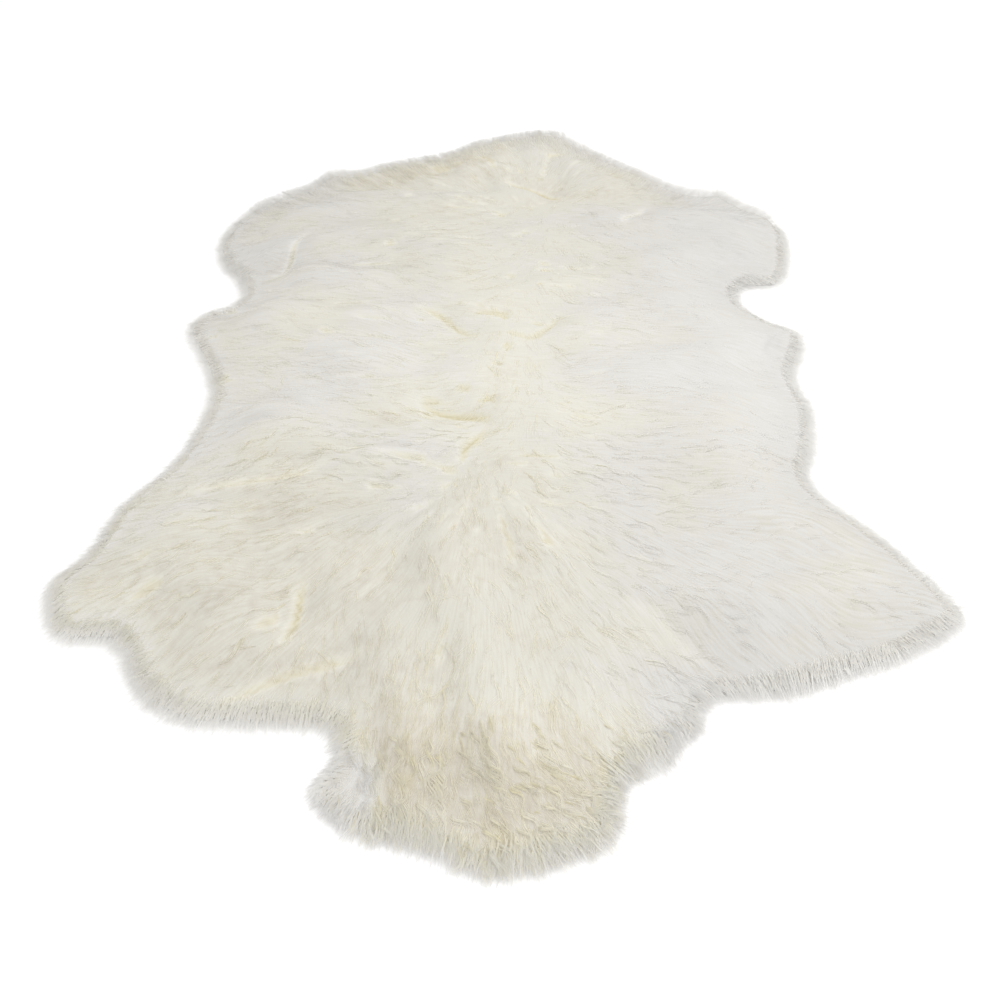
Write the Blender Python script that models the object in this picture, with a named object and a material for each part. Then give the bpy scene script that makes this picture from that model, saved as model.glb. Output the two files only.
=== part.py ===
"""Long-haired sheepskin rug, one tanned hide with its wool on, lying flat.

Run with: blender --background --python part.py, or from Blender's text editor.
Metres, +Z up. The flesh side lies on z = 0, the neck points to +Y and the tail lobe to -Y.
"""

import math
from collections import namedtuple

import bmesh
import bpy
from mathutils import Vector, geometry, noise

# Driving dimensions, in metres
PILE_HEIGHT = 0.034  # combed-over wool in the middle of the hide
RIM_HEIGHT = 0.013  # wool at the edge of the hide
SHOULDER = 0.085  # over this distance from the rim the pile reaches its full height
FLAP_HEIGHT = 0.008  # short smooth hair on the two flaps beside the tail
FLAP_REACH = 0.042  # how far the short hair runs from the middle of a flap
LUMP_HEIGHT = 0.0085  # how far a tuft stands above or below the pile's surface
LUMP_LENGTH = 0.098  # a tuft's size along the lay of the wool
LUMP_WIDTH = 0.037  # and across it
PARTING_WIDTH = 0.016  # half the width of a furrow where the wool parts

LOCK_WIDTHS = (0.021, 0.0165, 0.0235, 0.018, 0.0155, 0.0225, 0.019)  # at the root, in turn round the rim
LOCK_GAP = 0.0034  # between the roots of two locks
CLEARANCE = 0.0022  # past their roots two locks stay at least this far apart
LOCK_LENGTH = 0.031
LENGTH_SPREAD = 0.38  # share by which a lock is longer or shorter
SHORTEST_LOCK = 0.010
LOCK_TIP_WIDTH = 0.0034
LOCK_TIP_HEIGHT = 0.0022
LOCK_STEPS = 3
LOCK_LEAN = 0.30  # how far a lock bends towards the lay of the wool, as a share of its length
LOCK_STRAY = 0.28  # and away from it to either side, at most
RIM_INSET = 0.016  # the hide's own edge lies this far inside the landmarks below

GRID_STEP = 0.0162  # spacing of the points that carry the top surface
SEED_SHIFT = Vector((3.7, 1.9, 0.4))  # moves the noise field to the tufts used here

Landmark = namedtuple("Landmark", "place x y")
Parting = namedtuple("Parting", "place x y heading_deg length depth")
Lock = namedtuple("Lock", "root out width lean length")

# Where the wool ends on the floor, once round the hide from the neck
OUTLINE = [
    Landmark("neck crest, middle", 0.062, 0.603),
    Landmark("neck crest, left", 0.022, 0.590),
    Landmark("neck, left slope", -0.040, 0.560),
    Landmark("neck, left dip", -0.095, 0.512),
    Landmark("neck, left foot", -0.170, 0.480),
    Landmark("shoulder, left dip", -0.213, 0.452),
    Landmark("shoulder, left bump", -0.256, 0.454),
    Landmark("shoulder, left", -0.300, 0.395),
    Landmark("left fore leg, front", -0.355, 0.340),
    Landmark("left fore leg, tip", -0.383, 0.270),
    Landmark("left fore leg, back", -0.366, 0.205),
    Landmark("left armpit, upper", -0.332, 0.155),
    Landmark("left armpit", -0.325, 0.113),
    Landmark("left belly flap, front", -0.354, 0.080),
    Landmark("left belly flap, tip", -0.373, 0.048),
    Landmark("left belly flap, back", -0.347, -0.003),
    Landmark("left flank, front", -0.322, -0.060),
    Landmark("left flank, middle", -0.315, -0.120),
    Landmark("left flank, back", -0.328, -0.190),
    Landmark("left thigh, front", -0.360, -0.250),
    Landmark("left thigh", -0.371, -0.310),
    Landmark("left hind leg, tip", -0.394, -0.354),
    Landmark("left hind leg, back", -0.366, -0.407),
    Landmark("left hock", -0.323, -0.415),
    Landmark("rump, left side", -0.285, -0.462),
    Landmark("rump, left corner", -0.243, -0.488),
    Landmark("rump, left edge", -0.185, -0.491),
    Landmark("left tail notch, upper", -0.135, -0.493),
    Landmark("left tail notch, lower", -0.124, -0.516),
    Landmark("left tail flap", -0.139, -0.547),
    Landmark("tail lobe, left corner", -0.112, -0.577),
    Landmark("tail lobe, left edge", -0.060, -0.588),
    Landmark("tail lobe, tip", -0.010, -0.605),
    Landmark("tail lobe, right edge", 0.050, -0.594),
    Landmark("tail lobe, right corner", 0.083, -0.575),
    Landmark("tail lobe, right side", 0.094, -0.537),
    Landmark("right tail wisps", 0.124, -0.516),
    Landmark("right tail flap", 0.153, -0.496),
    Landmark("right tail notch", 0.168, -0.470),
    Landmark("rump, right edge", 0.225, -0.463),
    Landmark("rump, right corner", 0.300, -0.440),
    Landmark("right hind leg, back", 0.355, -0.415),
    Landmark("right hind leg, tip", 0.387, -0.386),
    Landmark("right thigh", 0.376, -0.338),
    Landmark("right thigh, front", 0.345, -0.283),
    Landmark("right flank, dip", 0.304, -0.220),
    Landmark("right flank, back", 0.322, -0.165),
    Landmark("right flank, middle", 0.334, -0.105),
    Landmark("right flank, front", 0.330, -0.050),
    Landmark("right belly flap, back", 0.350, 0.003),
    Landmark("right belly flap, tip", 0.358, 0.043),
    Landmark("right belly flap, front", 0.322, 0.071),
    Landmark("right armpit", 0.299, 0.110),
    Landmark("right armpit, upper", 0.312, 0.147),
    Landmark("right fore leg, back", 0.360, 0.158),
    Landmark("right fore leg, side", 0.385, 0.225),
    Landmark("right fore leg, tip", 0.394, 0.303),
    Landmark("right fore leg, front", 0.351, 0.340),
    Landmark("shoulder, right bump", 0.315, 0.387),
    Landmark("shoulder, right dip", 0.272, 0.386),
    Landmark("neck, right foot", 0.215, 0.455),
    Landmark("neck, right slope", 0.165, 0.515),
    Landmark("neck, right upper slope", 0.130, 0.565),
    Landmark("neck crest, right", 0.104, 0.597),
]

# The line from which the wool lies outwards to both sides, from the tail end to the neck
SPINE = (Vector((-0.015, -0.240)), Vector((0.035, 0.300)))

# Furrows where the wool parts and shows its yellower roots
PARTINGS = [
    Parting("neck", 0.050, 0.372, -28, 0.085, 0.012),
    Parting("withers, left", -0.060, 0.032, -38, 0.090, 0.009),
    Parting("withers, right", 0.050, 0.012, 52, 0.070, 0.008),
    Parting("back, upper bend", -0.045, -0.135, -22, 0.075, 0.011),
    Parting("back, lower bend", -0.028, -0.185, 68, 0.060, 0.010),
    Parting("loin, left", -0.225, -0.240, 14, 0.120, 0.007),
    Parting("left thigh", -0.168, -0.395, 78, 0.065, 0.010),
    Parting("left rump", -0.165, -0.452, 24, 0.130, 0.008),
    Parting("right rump", 0.155, -0.425, -38, 0.120, 0.009),
    Parting("right shoulder", 0.180, 0.290, 62, 0.070, 0.007),
    Parting("left shoulder", -0.270, 0.200, 72, 0.080, 0.008),
]

# Middles of the two smooth, short-haired flaps
FLAPS = (Vector((-0.118, -0.545)), Vector((0.143, -0.478)))

WOOL_COLOUR = (0.80, 0.77, 0.68, 1.0)  # linear
WOOL_ROUGHNESS = 0.85


def clear_scene():
    for old in list(bpy.data.objects):
        bpy.data.objects.remove(old)


def smoothstep(t):
    t = min(max(t, 0.0), 1.0)
    return t * t * (3 - 2 * t)


def through(points, steps=12):
    """A closed Catmull-Rom curve through the points, as a fine polyline."""
    count = len(points)
    line = []
    for i in range(count):
        before, start, end, after = (points[(i + k) % count] for k in (-1, 0, 1, 2))
        for k in range(steps):
            t = k / steps
            line.append(
                0.5
                * (
                    2 * start
                    + (end - before) * t
                    + (2 * before - 5 * start + 4 * end - after) * t**2
                    + (3 * (start - end) + after - before) * t**3
                )
            )
    return line


def spaced(line, gaps):
    """Points along a closed polyline, whose distances repeat the pattern in gaps as nearly as fits."""
    ends = line[1:] + line[:1]
    total = sum((b - a).length for a, b in zip(line, ends))
    rounds = round(total / sum(gaps))
    scale = total / (rounds * sum(gaps))
    wanted, at = [], 0.0
    for _ in range(rounds):
        for gap in gaps:
            wanted.append(at)
            at += gap * scale
    found, walked = [], 0.0
    for a, b in zip(line, ends):
        length = (b - a).length
        while len(found) < len(wanted) and wanted[len(found)] <= walked + length:
            share = (wanted[len(found)] - walked) / length
            found.append(a.lerp(b, share))
        walked += length
    return found


def outwards(points, i):
    """Unit vector in the plane that points away from the hide at rim point i of a counterclockwise rim."""
    along = points[(i + 1) % len(points)] - points[i - 1]
    return Vector((along.y, -along.x)).normalized()


def rim_of_hide():
    """The hide's own edge: the landmarks' curve moved inwards, with a point at both sides of each lock."""
    line = through([Vector((mark.x, mark.y)) for mark in OUTLINE])
    inner = [p - outwards(line, i) * RIM_INSET for i, p in enumerate(line)]
    return spaced(inner, [step for width in LOCK_WIDTHS for step in (width, LOCK_GAP)])


def distance_to(point, line):
    return min(
        (point - geometry.intersect_point_line(point, a, b)[0].xy).length
        if 0 < geometry.intersect_point_line(point, a, b)[1] < 1
        else (point - a).length
        for a, b in zip(line, line[1:] + line[:1])
    )


def inside(point, line):
    crossings = 0
    for a, b in zip(line, line[1:] + line[:1]):
        if (a.y > point.y) != (b.y > point.y):
            x = a.x + (point.y - a.y) / (b.y - a.y) * (b.x - a.x)
            crossings += point.x < x
    return crossings % 2 == 1


def lay_of_wool(point):
    """Unit vector along which the wool lies at a point: away from the nearest point of the spine."""
    start, end = SPINE
    share = geometry.intersect_point_line(point, start, end)[1]
    nearest = start.lerp(end, min(max(share, 0.0), 1.0))
    away = point - nearest
    return away.normalized() if away.length > 1e-6 else Vector((1.0, 0.0))


def tufts(point):
    """From -1 to 1: lumps that are long along the lay of the wool and narrow across it."""
    lay = lay_of_wool(point)
    sideways = Vector((point.x / LUMP_LENGTH, point.y / LUMP_WIDTH, 0.0)) + SEED_SHIFT
    lengthways = Vector((point.x / LUMP_WIDTH, point.y / LUMP_LENGTH, 5.0)) + SEED_SHIFT
    share = smoothstep(lay.x**2 * 1.6 - 0.3)
    raw = share * noise.noise(sideways) + (1 - share) * noise.noise(lengthways)
    return max(-1.0, min(1.0, 1.9 * raw))


def furrow_depth(point):
    deepest = 0.0
    for parting in PARTINGS:
        heading = math.radians(parting.heading_deg)
        along = Vector((math.cos(heading), math.sin(heading)))
        offset = point - Vector((parting.x, parting.y))
        run = offset.dot(along) / (parting.length / 2)
        across = offset.cross(along) / PARTING_WIDTH
        deepest = max(deepest, parting.depth * math.exp(-(across**2) - run**4))
    return deepest


def shortness(point):
    """1 on the short-haired flaps beside the tail, 0 away from them."""
    nearest = min((point - flap).length for flap in FLAPS)
    return 1 - smoothstep((nearest - FLAP_REACH / 2) / (FLAP_REACH / 2))


def pile_height(point, rim):
    """Height of the combed-over wool above the floor."""
    rise = smoothstep(distance_to(point, rim) / SHOULDER)
    height = RIM_HEIGHT + (PILE_HEIGHT - RIM_HEIGHT) * rise
    height += LUMP_HEIGHT * tufts(point) * min(1.0, 0.35 + rise)
    height -= furrow_depth(point)
    short = shortness(point)
    return max(height * (1 - short) + FLAP_HEIGHT * short, FLAP_HEIGHT)


def rim_height(point):
    short = shortness(point)
    wool = RIM_HEIGHT + LUMP_HEIGHT * 0.35 * tufts(point)
    return wool * (1 - short) + FLAP_HEIGHT * short


def grid_points(rim):
    """Points on a triangular lattice inside the rim, clear of it by most of a step."""
    row_step = GRID_STEP * math.sqrt(3) / 2
    low_x, high_x = min(p.x for p in rim), max(p.x for p in rim)
    low_y, high_y = min(p.y for p in rim), max(p.y for p in rim)
    found = []
    for row in range(int((high_y - low_y) / row_step) + 1):
        shift = GRID_STEP / 2 if row % 2 else 0.0
        for column in range(int((high_x - low_x) / GRID_STEP) + 1):
            point = Vector((low_x + shift + column * GRID_STEP, low_y + row * row_step))
            if inside(point, rim) and distance_to(point, rim) > 0.6 * GRID_STEP:
                found.append(point)
    return found


def add_slab(bm, rim):
    """The lumpy slab: a filled top, walls down from its edge and a flat underside. Returns the rim's top vertices."""
    points = rim + grid_points(rim)
    inside_only = 1  # delaunay_2d_cdt's output type that keeps what the rim encloses
    filled = geometry.delaunay_2d_cdt(
        points, [], [list(range(len(rim)))], inside_only, 1e-6
    )
    top = [bm.verts.new((p.x, p.y, 0.0)) for p in filled[0]]
    for corners in filled[2]:
        bm.faces.new([top[i] for i in corners])
    edge = [e for e in bm.edges if e.is_boundary]
    on_edge = {v for e in edge for v in e.verts}
    for v in top:
        height = rim_height(v.co.xy) if v in on_edge else pile_height(v.co.xy, rim)
        v.co.z = height
    made = bmesh.ops.extrude_edge_only(bm, edges=edge)["geom"]
    for v in made:
        if isinstance(v, bmesh.types.BMVert):
            v.co.z = 0.0
    bmesh.ops.edgeloop_fill(bm, edges=[e for e in bm.edges if e.is_boundary])
    bmesh.ops.recalc_face_normals(bm, faces=bm.faces)


def lock_rings(lock):
    """(centre, sideways unit vector, width) of a lock on the floor plan, from its root to its tip."""
    across = Vector((-lock.out.y, lock.out.x))
    rings = []
    for k in range(LOCK_STEPS + 1):
        t = k / LOCK_STEPS
        centre = lock.root + lock.out * lock.length * t + across * lock.lean * lock.length * t**2
        heading = (lock.out + across * lock.lean * 2 * t).normalized()
        width = LOCK_TIP_WIDTH + (lock.width - LOCK_TIP_WIDTH) * (1 - t**2.1)
        rings.append((centre, Vector((-heading.y, heading.x)), width))
    return rings


def lock_sides(lock):
    """Points close together along both long sides and the tip of a lock, past its root."""
    left, right = ([c + s * turn * w / 2 for c, s, w in lock_rings(lock)] for turn in (1, -1))
    sides = [a.lerp(b, share) for line in (left, right) for a, b in zip(line, line[1:]) for share in (0.5, 1.0)]
    return sides + [left[-1].lerp(right[-1], 0.5)]


def is_clear(lock, others, rim):
    """Whether a lock keeps its distance from its neighbours and from the rim in front of it."""
    sides = lock_sides(lock)
    taken = [p for other in others for p in lock_sides(other)]
    taken += [p for p in rim if (p - lock.root).dot(lock.out) > 0.25 * lock.width]
    near = [p for p in taken if (p - lock.root).length < lock.length * 1.5 + lock.width]
    return all((a - b).length > CLEARANCE for a in sides for b in near)


def planned_locks(rim):
    """A lock on every second stretch of the rim, shortened where neighbours would meet in a notch."""
    locks = []
    for start, end in zip(rim[::2], rim[1::2]):
        root, along = (start + end) / 2, end - start
        place = Vector((root.x, root.y, 0.0)) * 29
        to_lay = lay_of_wool(root).dot(along.normalized())
        locks.append(
            Lock(
                root=root,
                out=Vector((along.y, -along.x)).normalized(),
                width=along.length,
                lean=LOCK_LEAN * to_lay + LOCK_STRAY * noise.noise(place) / 0.5,
                length=LOCK_LENGTH
                * (1 + LENGTH_SPREAD * noise.noise(place + SEED_SHIFT) / 0.5)
                * (1 - 0.55 * shortness(root)),
            )
        )
    for i, lock in enumerate(locks):
        others = [o for o in locks if o is not lock and (o.root - lock.root).length < 0.12]
        while lock.length > SHORTEST_LOCK and not is_clear(lock, others, rim):
            lock = lock._replace(length=lock.length * 0.88, lean=lock.lean * 0.8)
        locks[i] = lock
    return locks


def add_locks(bm, rim):
    """Draws one tapering four-sided lock out of every second wall face, resting level on the floor."""
    walls = {}
    for face in bm.faces:
        if len(face.verts) == 4 and abs(face.normal.z) < 0.1:
            middle = face.calc_center_median().xy
            walls[middle.to_tuple(4)] = face
    for lock in planned_locks(rim):
        face = min(walls.items(), key=lambda wall: (Vector(wall[0]) - lock.root).length)[1]
        root_height = max(v.co.z for v in face.verts)
        behind = lock.root
        for k, (centre, side, width) in enumerate(lock_rings(lock)):
            if k == 0:
                continue
            fall = smoothstep(0.12 + 0.88 * k / LOCK_STEPS)
            height = root_height + (LOCK_TIP_HEIGHT - root_height) * fall
            face = bmesh.ops.extrude_discrete_faces(bm, faces=[face])["faces"][0]
            for v in face.verts:
                turn = 1 if (v.co.xy - behind).dot(side) > 0 else -1
                place = centre + side * turn * width / 2
                v.co = (place.x, place.y, height if v.co.z > 1e-6 else 0.0)
            behind = centre


def centre_on_origin(bm):
    """Moves the hide so that the middle of its box stands over the origin."""
    for axis in (0, 1):
        places = [v.co[axis] for v in bm.verts]
        middle = (min(places) + max(places)) / 2
        for v in bm.verts:
            v.co[axis] -= middle


def wool_material():
    wool = bpy.data.materials.new("wool")
    wool.use_nodes = True
    shader = wool.node_tree.nodes["Principled BSDF"]
    shader.inputs["Base Color"].default_value = WOOL_COLOUR
    shader.inputs["Roughness"].default_value = WOOL_ROUGHNESS
    shader.inputs["Metallic"].default_value = 0.0
    return wool


def build_fleece(collection):
    rim = rim_of_hide()
    bm = bmesh.new()
    add_slab(bm, rim)
    add_locks(bm, rim)
    bmesh.ops.recalc_face_normals(bm, faces=bm.faces)
    centre_on_origin(bm)
    mesh = bpy.data.meshes.new("fleece")
    bm.to_mesh(mesh)
    bm.free()
    mesh.materials.append(wool_material())
    mesh.shade_smooth()
    mesh.set_sharp_from_angle(angle=math.radians(50))
    fleece = bpy.data.objects.new("fleece", mesh)
    collection.objects.link(fleece)
    return fleece


def main():
    clear_scene()
    collection = bpy.data.collections.new("sheepskin_rug")
    bpy.context.scene.collection.children.link(collection)
    build_fleece(collection)


main()
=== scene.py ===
"""Looks of a long-haired sheepskin rug: tanned hide, woolly undercoat and the strands combed over it.

Metres, +Z up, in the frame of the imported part. The wool is grown in locks: each lock follows the lay of
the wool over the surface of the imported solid, and its strands are narrow ribbons that taper to a point.
"""

import math
from collections import namedtuple

import bmesh
import bpy
import numpy as np
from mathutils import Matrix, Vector, geometry, kdtree
from mathutils.bvhtree import BVHTree


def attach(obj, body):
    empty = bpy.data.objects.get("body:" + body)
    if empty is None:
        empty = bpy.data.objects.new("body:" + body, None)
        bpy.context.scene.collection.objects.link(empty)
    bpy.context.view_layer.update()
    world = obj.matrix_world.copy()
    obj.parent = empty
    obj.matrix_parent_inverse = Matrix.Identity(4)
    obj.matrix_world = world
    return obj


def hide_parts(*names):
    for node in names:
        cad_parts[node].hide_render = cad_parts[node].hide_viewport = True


PLAN_SHIFT = np.array([-0.0038, 0.0020])  # from the landmarks' plan to the part's centred frame

FIRST_SEED = 20  # of the random draws

CELL = 0.003  # of the grids that hold the height and the lay of the wool
GRID_REACH = (0.46, 0.67)  # half the grids' size
EDGE_STEP = 0.0015  # between the points of the rim that distances are measured to
ABOVE = 0.2  # the part's height is measured from here down

RIM_INSET = 0.016  # from where the wool ends to the hide's own edge
RIM_HEIGHT = 0.013
HIDE_THICKNESS = 0.0016
SPREAD = 0.026  # beyond the hide's edge the wool comes down to the floor over this distance
OVERHANG = 0.8  # below 1 the wool stays high for longer there
FLOOR_CLEARANCE = 0.0008

Landmark = namedtuple("Landmark", "place x y")
Parting = namedtuple("Parting", "place x y heading_deg length depth")
Zone = namedtuple(
    "Zone",
    "name curl steps spacing strands radius length width"
    " clump wave wavelength lift turn sunk rounded pale",
)
Layer = namedtuple("Layer", "seed strength length width")
Strands = namedtuple("Strands", "points width tone along normals rounded")
Rim = namedtuple("Rim", "name step width reach spread turn")

# Where the wool ends on the floor, once round the hide from the neck. Eight landmarks are 3 to 11 mm away
# from those of the part's own source, so that the tips of the wool end where the real ones do: two at the
# tail lobe, two at the right shoulder, and the left hock, the left belly flap's front, the right hind leg's
# tip and the right fore leg's front.
OUTLINE = [
    Landmark("neck crest, middle", 0.062, 0.603),
    Landmark("neck crest, left", 0.022, 0.590),
    Landmark("neck, left slope", -0.040, 0.560),
    Landmark("neck, left dip", -0.095, 0.512),
    Landmark("neck, left foot", -0.170, 0.480),
    Landmark("shoulder, left dip", -0.213, 0.452),
    Landmark("shoulder, left bump", -0.256, 0.454),
    Landmark("shoulder, left", -0.300, 0.395),
    Landmark("left fore leg, front", -0.355, 0.340),
    Landmark("left fore leg, tip", -0.383, 0.270),
    Landmark("left fore leg, back", -0.366, 0.205),
    Landmark("left armpit, upper", -0.332, 0.155),
    Landmark("left armpit", -0.325, 0.113),
    Landmark("left belly flap, front", -0.361, 0.088),
    Landmark("left belly flap, tip", -0.373, 0.048),
    Landmark("left belly flap, back", -0.347, -0.003),
    Landmark("left flank, front", -0.322, -0.060),
    Landmark("left flank, middle", -0.315, -0.120),
    Landmark("left flank, back", -0.328, -0.190),
    Landmark("left thigh, front", -0.360, -0.250),
    Landmark("left thigh", -0.371, -0.310),
    Landmark("left hind leg, tip", -0.394, -0.354),
    Landmark("left hind leg, back", -0.366, -0.407),
    Landmark("left hock", -0.317, -0.415),
    Landmark("rump, left side", -0.285, -0.462),
    Landmark("rump, left corner", -0.243, -0.488),
    Landmark("rump, left edge", -0.185, -0.491),
    Landmark("left tail notch, upper", -0.135, -0.493),
    Landmark("left tail notch, lower", -0.124, -0.516),
    Landmark("left tail flap", -0.139, -0.547),
    Landmark("tail lobe, left corner", -0.1105, -0.5735),
    Landmark("tail lobe, left edge", -0.061, -0.5850),
    Landmark("tail lobe, tip", -0.010, -0.605),
    Landmark("tail lobe, right edge", 0.050, -0.594),
    Landmark("tail lobe, right corner", 0.083, -0.575),
    Landmark("tail lobe, right side", 0.094, -0.537),
    Landmark("right tail wisps", 0.124, -0.516),
    Landmark("right tail flap", 0.153, -0.496),
    Landmark("right tail notch", 0.168, -0.470),
    Landmark("rump, right edge", 0.225, -0.463),
    Landmark("rump, right corner", 0.300, -0.440),
    Landmark("right hind leg, back", 0.355, -0.415),
    Landmark("right hind leg, tip", 0.392, -0.387),
    Landmark("right thigh", 0.376, -0.338),
    Landmark("right thigh, front", 0.345, -0.283),
    Landmark("right flank, dip", 0.304, -0.220),
    Landmark("right flank, back", 0.322, -0.165),
    Landmark("right flank, middle", 0.334, -0.105),
    Landmark("right flank, front", 0.330, -0.050),
    Landmark("right belly flap, back", 0.350, 0.003),
    Landmark("right belly flap, tip", 0.358, 0.043),
    Landmark("right belly flap, front", 0.322, 0.071),
    Landmark("right armpit", 0.299, 0.110),
    Landmark("right armpit, upper", 0.312, 0.147),
    Landmark("right fore leg, back", 0.360, 0.158),
    Landmark("right fore leg, side", 0.385, 0.225),
    Landmark("right fore leg, tip", 0.394, 0.303),
    Landmark("right fore leg, front", 0.358, 0.349),
    Landmark("shoulder, right bump", 0.320, 0.395),
    Landmark("shoulder, right dip", 0.275, 0.393),
    Landmark("neck, right foot", 0.215, 0.455),
    Landmark("neck, right slope", 0.165, 0.515),
    Landmark("neck, right upper slope", 0.130, 0.565),
    Landmark("neck crest, right", 0.104, 0.597),
]
SPINE = (np.array([-0.015, -0.240]), np.array([0.035, 0.300]))
SPINE_WIDTH = 0.050  # the wool lies tailwards this near to the spine
FAN_RADIUS = 0.13  # turns the angle round an end of the spine into a length
SIDE_START = 1.7  # keeps the two sides of the spine apart in the noise fields
FLAPS = (np.array([-0.118, -0.545]), np.array([0.143, -0.478]))  # middles of the short-haired flaps
FLAP_REACH = 0.042
TAILWARDS = np.array([-0.09, -1.0])
WISPS = np.array([0.118, -0.522])  # middle of the long wisps between the tail lobe and the right flap
WISP_REACH = 0.022  # to either side of that middle
WISP_LENGTH = 0.010

# Noise fields: seed, strength, and the size of their forms along and across
SWIRLS = [Layer(1, 0.50, 0.11, 0.11), Layer(2, 0.32, 0.045, 0.045)]  # of the lay, in radians
RIDGES = [Layer(11, 1.0, 0.060, 0.017), Layer(12, 0.6, 0.030, 0.009)]  # along the lay and across it
CLEFTS = [Layer(41, 1.0, 0.034, 0.0085)]  # along the lay and across it
PATCHES = [Layer(21, 0.12, 0.10, 0.07), Layer(22, 0.08, 0.04, 0.025)]  # of the wool's tone
RIM_SWEEPS = [Layer(33, 0.5, 0.05, 0.05)]  # how far the hair tips at the rim are combed aside, in radians
RIM_TUFTS = [Layer(31, 1.0, 0.018, 0.018)]
STREAK_BENDS = [Layer(51, 0.012, 0.09, 0.09)]  # how far the undercoat's streaks wander, in metres

RIDGE_HEIGHT = 0.0014
FULL_RIDGES = 1.3  # the ridges' strength at which they reach that height
CLEFT_START, CLEFT_OVER = 0.75, 0.19  # strength of the noise at which a cleft begins, and until it is deep
CLEFT_DEPTH = 0.55  # beside that of a parting
HIDE_STEP = 0.018  # between the points of the hide's mesh
UNDERCOAT_STEP = 0.0056
UNDERCOAT_INSET = 0.007  # from where the wool ends to the edge of the dense undercoat
UNDERCOAT_PAINTED_SHADE = (0.735, 0.732, 0.726)  # painted shade of the undercoat beside the strands' own colour, as dense wool beneath them is shaded
UNDERCOAT_DEPTH = 0.0018  # of the dense undercoat's surface below the tops of the strands
UNDERCOAT_DEEPER = 0.0003  # on the tail lobe
UNDERCOAT_HIGHER = 0.0004  # where the wool lies smoothly
UNDERCOAT_EDGE = 0.0012  # its thickness at its own edge
UNDERCOAT_THINNEST = 0.0005  # past that, wherever it lies lowest
UNDERCOAT_ROUND = 0.014  # from its edge it rises to its full height over this distance
UNDERCOAT_FURROW = 0.0045  # depth of a parting in it
STREAK_LENGTH = 0.030  # of the hairs that show in the undercoat
STREAK_WIDTH = 0.0011

PARTING_HALF_WIDTH = 0.0048
PARTING_SWAY = 0.0035  # how far a parting bends to either side
PARTING_BENDS = 2.6  # radians of its bends for half its length
DEEPEST_PARTING = 0.012

# Furrows where the wool parts and shows its yellower roots
PARTINGS = [
    Parting("neck", 0.050, 0.372, -28, 0.085, 0.012),
    Parting("withers, left", -0.060, 0.032, -38, 0.090, 0.009),
    Parting("withers, right", 0.050, 0.012, 52, 0.070, 0.008),
    Parting("back, upper bend", -0.045, -0.135, -22, 0.075, 0.011),
    Parting("back, lower bend", -0.028, -0.185, 68, 0.060, 0.010),
    Parting("loin, left", -0.225, -0.240, 14, 0.120, 0.007),
    Parting("left thigh", -0.168, -0.395, 78, 0.065, 0.010),
    Parting("left rump", -0.165, -0.452, 24, 0.130, 0.008),
    Parting("right rump", 0.140, -0.415, -38, 0.085, 0.0022),
    Parting("right shoulder", 0.180, 0.290, 62, 0.070, 0.007),
    Parting("left shoulder", -0.270, 0.200, 72, 0.080, 0.008),
]

# How the wool grows, first the coat and then the loose locks over it. A zone's curl says where: 0 on the
# back, 0.5 on the rump and 1 on the tail lobe. The steps are those along a strand, the spacing is between
# locks, the clump is how far a lock's strands draw together, the wave and wavelength are the crimp's, the
# lift is the tips', the turn is a lock's off the lay, in radians, sunk is how deep its roots lie, rounded is
# how round a strand looks, and pale is how much cooler its tone is.
ZONES = [
    Zone(
        "tail", curl=1.0, steps=8, spacing=0.0053, strands=6, radius=0.0044,
        length=0.040, width=0.00050, clump=0.40, wave=0.0014, wavelength=0.0190,
        lift=0.0002, turn=0.20, sunk=0.006, rounded=0.10, pale=0.12,
    ),
    Zone(
        "rump", curl=0.5, steps=7, spacing=0.0080, strands=6, radius=0.0052,
        length=0.052, width=0.00050, clump=0.50, wave=0.0013, wavelength=0.0220,
        lift=0.0006, turn=0.16, sunk=0.008, rounded=0.15, pale=0.0,
    ),
    Zone(
        "back", curl=0.0, steps=4, spacing=0.0098, strands=8, radius=0.0082,
        length=0.056, width=0.00050, clump=0.30, wave=0.0008, wavelength=0.0330,
        lift=0.0006, turn=0.14, sunk=0.008, rounded=0.10, pale=0.0,
    ),
    Zone(
        "curls", curl=1.0, steps=18, spacing=0.0112, strands=9, radius=0.0012,
        length=0.062, width=0.00070, clump=0.20, wave=0.0038, wavelength=0.0185,
        lift=0.0012, turn=0.18, sunk=0.003, rounded=0.35, pale=0.22,
    ),
    Zone(
        "waves", curl=0.5, steps=10, spacing=0.0140, strands=6, radius=0.0022,
        length=0.062, width=0.00058, clump=0.50, wave=0.0026, wavelength=0.0270,
        lift=0.0014, turn=0.22, sunk=0.004, rounded=0.35, pale=0.06,
    ),
    Zone(
        "wisps", curl=0.0, steps=6, spacing=0.0190, strands=5, radius=0.0036,
        length=0.062, width=0.00050, clump=0.45, wave=0.0014, wavelength=0.0400,
        lift=0.0010, turn=0.20, sunk=0.004, rounded=0.20, pale=0.04,
    ),
]
# Short locks where the lay fans out or the wool parts, which would bare the undercoat
COVER = Zone(
    "cover", curl=0.0, steps=4, spacing=0.0085, strands=6, radius=0.0070,
    length=0.034, width=0.00052, clump=0.45, wave=0.0012, wavelength=0.0180,
    lift=0.0008, turn=0.60, sunk=0.005, rounded=0.15, pale=0.0,
)
COVER_AT_PARTINGS = 15  # a parting counts like wool whose lay spreads this fast
ROUNDNESS = 0.15  # how far the shading turns to the side at a lock's flanks
FACING = 0.06  # share of a strand's own face in its shading
ROLL = 0.20  # radians by which the strands lean to a side
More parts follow.
